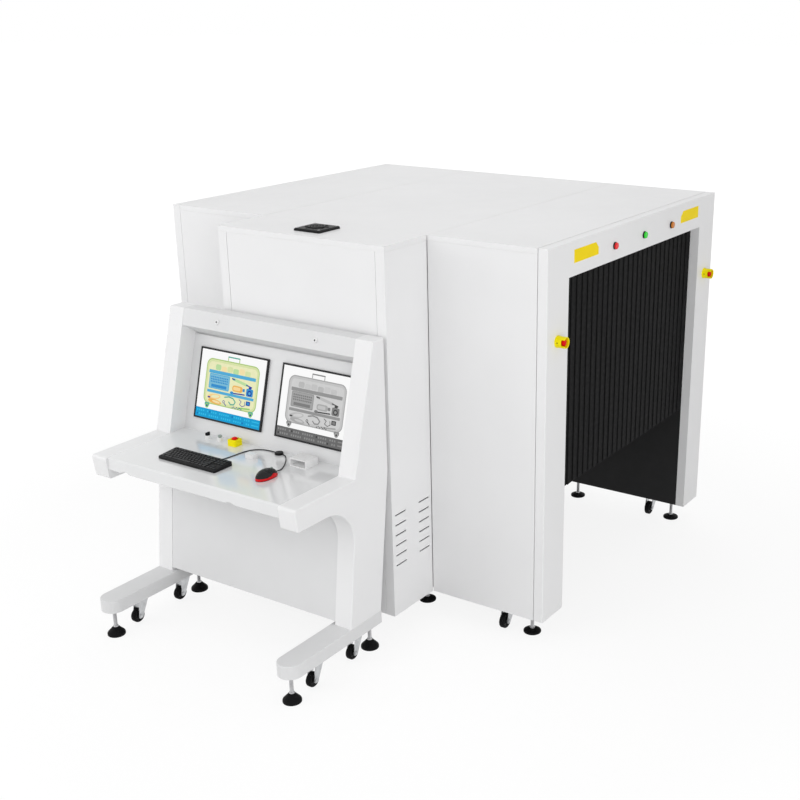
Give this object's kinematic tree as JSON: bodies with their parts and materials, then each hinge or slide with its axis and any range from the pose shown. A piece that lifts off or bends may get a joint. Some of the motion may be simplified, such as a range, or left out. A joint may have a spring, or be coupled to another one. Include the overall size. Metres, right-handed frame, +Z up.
{
  "type": "baggage x-ray scanner with operator console",
  "caption": "Walk-round baggage x-ray machine with a wide strip-curtained tunnel, a side generator cabinet and a two-monitor operator console on casters.",
  "frame": {"origin": "centre of the footprint of scanner and console together, at floor level", "axes": "+X along the tunnel towards the visible mouth, +Y from the console towards the scanner, +Z up"},
  "size_m": [2.252, 2.794, 1.866],
  "materials": {
    "white_paint": "satin white powder coat",
    "desk_paint": "satin light grey desk surface",
    "tunnel_black": "matt black lining",
    "curtain_rubber": "matt lead rubber",
    "black_plastic": "fine grained",
    "red_lens": "clear moulded lens",
    "green_lens": "clear moulded lens",
    "amber_lens": "clear moulded lens",
    "stop_yellow": "moulded",
    "stop_red": "moulded",
    "foot_black": "black pad on a zinc plated stem",
    "caster_steel": "zinc plated pressing",
    "wheel_black": "black polyurethane tread on a grey hub",
    "monitor_black": "thin black bezel",
    "mouse_black": "black top with red flanks",
    "cord_black": "smooth jacket",
    "key_metal": "polished",
    "button_grey": "moulded"
  },
  "bodies": {
    "root": {"end_frame_right": "white_paint", "end_frame_left": "white_paint", "front_wall_left": "white_paint", "front_wall_right": "white_paint", "rear_walls": "white_paint", "roof_panels": "white_paint", "cabinet_frame": "white_paint", "cabinet_front_panel": "white_paint", "cabinet_side_panels": "white_paint", "cabinet_roof": "white_paint", "console_side_left": "white_paint", "console_side_right": "white_paint", "foot_bars": "white_paint", "modesty_panel": "white_paint", "desk_top": "desk_paint", "console_rear_panel": "white_paint", "hood_header": "white_paint", "monitor_panel": "white_paint", "desk_fittings": "white_paint", "tunnel_walls": "tunnel_black", "tunnel_ceiling": "tunnel_black", "curtain_right": "curtain_rubber", "curtain_left": "curtain_rubber", "roof_fan_cover": "black_plastic", "red_lamps": "red_lens", "green_lamps": "green_lens", "amber_lamps": "amber_lens", "lamp_bezels": "black_plastic", "emergency_stop_housings": "stop_yellow", "levelling_feet": "foot_black", "caster_plates": "caster_steel", "monitors": "monitor_black", "keyboard": "black_plastic", "mouse": "mouse_black", "keyboard_cord": "cord_black", "mouse_cord": "cord_black", "cord_grommet": "black_plastic"},
    "stop_button_right_near_body": {"stop_button_right_near": "stop_red"},
    "stop_button_right_far_body": {"stop_button_right_far": "stop_red"},
    "stop_button_left_near_body": {"stop_button_left_near": "stop_red"},
    "stop_button_left_far_body": {"stop_button_left_far": "stop_red"},
    "stop_button_desk_body": {"stop_button_desk": "stop_red"},
    "power_key_body": {"power_key": "key_metal"},
    "power_button_body": {"power_button": "button_grey"},
    "scanner_caster_left_front_swivel": {"scanner_caster_left_front_fork": "caster_steel"},
    "scanner_caster_left_front_roller": {"scanner_caster_left_front_wheel": "wheel_black"},
    "scanner_caster_left_rear_swivel": {"scanner_caster_left_rear_fork": "caster_steel"},
    "scanner_caster_left_rear_roller": {"scanner_caster_left_rear_wheel": "wheel_black"},
    "scanner_caster_right_front_swivel": {"scanner_caster_right_front_fork": "caster_steel"},
    "scanner_caster_right_front_roller": {"scanner_caster_right_front_wheel": "wheel_black"},
    "scanner_caster_right_rear_swivel": {"scanner_caster_right_rear_fork": "caster_steel"},
    "scanner_caster_right_rear_roller": {"scanner_caster_right_rear_wheel": "wheel_black"},
    "console_caster_left_front_swivel": {"console_caster_left_front_fork": "caster_steel"},
    "console_caster_left_front_roller": {"console_caster_left_front_wheel": "wheel_black"},
    "console_caster_left_rear_swivel": {"console_caster_left_rear_fork": "caster_steel"},
    "console_caster_left_rear_roller": {"console_caster_left_rear_wheel": "wheel_black"},
    "console_caster_right_front_swivel": {"console_caster_right_front_fork": "caster_steel"},
    "console_caster_right_front_roller": {"console_caster_right_front_wheel": "wheel_black"},
    "console_caster_right_rear_swivel": {"console_caster_right_rear_fork": "caster_steel"},
    "console_caster_right_rear_roller": {"console_caster_right_rear_wheel": "wheel_black"}
  },
  "joints": [
    {"name": "stop_button_right_near_press", "type": "slide", "parent": "root", "child": "stop_button_right_near_body", "axis": [-1, 0, 0], "range_m": [0, 0.004]},
    {"name": "stop_button_right_far_press", "type": "slide", "parent": "root", "child": "stop_button_right_far_body", "axis": [-1, 0, 0], "range_m": [0, 0.004]},
    {"name": "stop_button_left_near_press", "type": "slide", "parent": "root", "child": "stop_button_left_near_body", "axis": [1, 0, 0], "range_m": [0, 0.004]},
    {"name": "stop_button_left_far_press", "type": "slide", "parent": "root", "child": "stop_button_left_far_body", "axis": [1, 0, 0], "range_m": [0, 0.004]},
    {"name": "stop_button_desk_press", "type": "slide", "parent": "root", "child": "stop_button_desk_body", "axis": [0, 0, -1], "range_m": [0, 0.004]},
    {"name": "power_key_turn", "type": "hinge", "parent": "root", "child": "power_key_body", "pos_m": [-0.43, -0.892, 0.906], "axis": [0, 0, 1], "range_deg": [0, 90]},
    {"name": "power_button_press", "type": "slide", "parent": "root", "child": "power_button_body", "axis": [0, 0, -1], "range_m": [0, 0.003], "stiffness_N_per_m": 400, "springref_m": -0.002},
    {"name": "scanner_caster_left_front_swivel_turn", "type": "hinge", "parent": "root", "child": "scanner_caster_left_front_swivel", "pos_m": [-0.844, -0.281, 0.09], "axis": [0, 0, 1], "continuous": true},
    {"name": "scanner_caster_left_front_wheel_spin", "type": "hinge", "parent": "scanner_caster_left_front_swivel", "child": "scanner_caster_left_front_roller", "pos_m": [-0.844, -0.314, 0.0415], "axis": [1, 0, 0], "continuous": true},
    {"name": "scanner_caster_left_rear_swivel_turn", "type": "hinge", "parent": "root", "child": "scanner_caster_left_rear_swivel", "pos_m": [-0.844, 1.305, 0.09], "axis": [0, 0, 1], "continuous": true},
    {"name": "scanner_caster_left_rear_wheel_spin", "type": "hinge", "parent": "scanner_caster_left_rear_swivel", "child": "scanner_caster_left_rear_roller", "pos_m": [-0.844, 1.272, 0.0415], "axis": [1, 0, 0], "continuous": true},
    {"name": "scanner_caster_right_front_swivel_turn", "type": "hinge", "parent": "root", "child": "scanner_caster_right_front_swivel", "pos_m": [0.844, -0.281, 0.09], "axis": [0, 0, 1], "continuous": true},
    {"name": "scanner_caster_right_front_wheel_spin", "type": "hinge", "parent": "scanner_caster_right_front_swivel", "child": "scanner_caster_right_front_roller", "pos_m": [0.844, -0.314, 0.0415], "axis": [1, 0, 0], "continuous": true},
    {"name": "scanner_caster_right_rear_swivel_turn", "type": "hinge", "parent": "root", "child": "scanner_caster_right_rear_swivel", "pos_m": [0.844, 1.305, 0.09], "axis": [0, 0, 1], "continuous": true},
    {"name": "scanner_caster_right_rear_wheel_spin", "type": "hinge", "parent": "scanner_caster_right_rear_swivel", "child": "scanner_caster_right_rear_roller", "pos_m": [0.844, 1.272, 0.0415], "axis": [1, 0, 0], "continuous": true},
    {"name": "console_caster_left_front_swivel_turn", "type": "hinge", "parent": "root", "child": "console_caster_left_front_swivel", "pos_m": [-0.6745, -1.178, 0.09], "axis": [0, 0, 1], "continuous": true},
    {"name": "console_caster_left_front_wheel_spin", "type": "hinge", "parent": "console_caster_left_front_swivel", "child": "console_caster_left_front_roller", "pos_m": [-0.6745, -1.207, 0.038], "axis": [1, 0, 0], "continuous": true},
    {"name": "console_caster_left_rear_swivel_turn", "type": "hinge", "parent": "root", "child": "console_caster_left_rear_swivel", "pos_m": [-0.6745, -0.902, 0.09], "axis": [0, 0, 1], "continuous": true},
    {"name": "console_caster_left_rear_wheel_spin", "type": "hinge", "parent": "console_caster_left_rear_swivel", "child": "console_caster_left_rear_roller", "pos_m": [-0.6745, -0.931, 0.038], "axis": [1, 0, 0], "continuous": true},
    {"name": "console_caster_right_front_swivel_turn", "type": "hinge", "parent": "root", "child": "console_caster_right_front_swivel", "pos_m": [0.4105, -1.178, 0.09], "axis": [0, 0, 1], "continuous": true},
    {"name": "console_caster_right_front_wheel_spin", "type": "hinge", "parent": "console_caster_right_front_swivel", "child": "console_caster_right_front_roller", "pos_m": [0.4105, -1.207, 0.038], "axis": [1, 0, 0], "continuous": true},
    {"name": "console_caster_right_rear_swivel_turn", "type": "hinge", "parent": "root", "child": "console_caster_right_rear_swivel", "pos_m": [0.4105, -0.902, 0.09], "axis": [0, 0, 1], "continuous": true},
    {"name": "console_caster_right_rear_wheel_spin", "type": "hinge", "parent": "console_caster_right_rear_swivel", "child": "console_caster_right_rear_roller", "pos_m": [0.4105, -0.931, 0.038], "axis": [1, 0, 0], "continuous": true}
  ]
}
